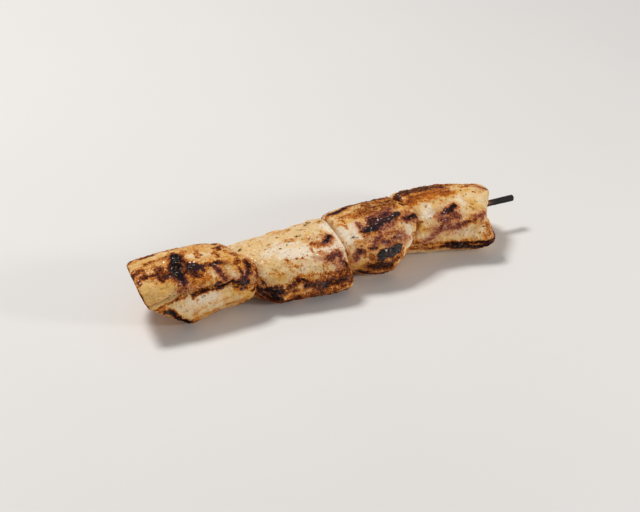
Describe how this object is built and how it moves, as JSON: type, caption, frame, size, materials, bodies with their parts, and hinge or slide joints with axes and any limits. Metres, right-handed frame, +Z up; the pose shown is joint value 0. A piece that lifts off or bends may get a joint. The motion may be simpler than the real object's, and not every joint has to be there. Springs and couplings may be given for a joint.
{
  "type": "chicken kebab skewer",
  "caption": "Grilled chunks of marinated chicken breast threaded on a round wooden skewer whose charred end sticks out on one side.",
  "frame": {"origin": "on the surface that the kebab lies on, under the middle of its bounding box", "axes": "+X along the skewer towards its bare, charred end; -Y is the front, the side with the most char marks; +Z up"},
  "size_m": [0.182, 0.0394, 0.0272],
  "materials": {
    "grilled_chicken": "grilled chicken breast: pale cream meat with yellow marinade, brown and black char, herb flecks and a moist, oily sheen",
    "charred_skewer_wood": "bamboo, scorched brown at the meat and charred matt black towards the end"
  },
  "bodies": {
    "root": {"chicken_chunk_1": "grilled_chicken", "chicken_chunk_2": "grilled_chicken", "chicken_chunk_3": "grilled_chicken", "chicken_chunk_4": "grilled_chicken", "skewer_stick": "charred_skewer_wood"}
  },
  "joints": []
}
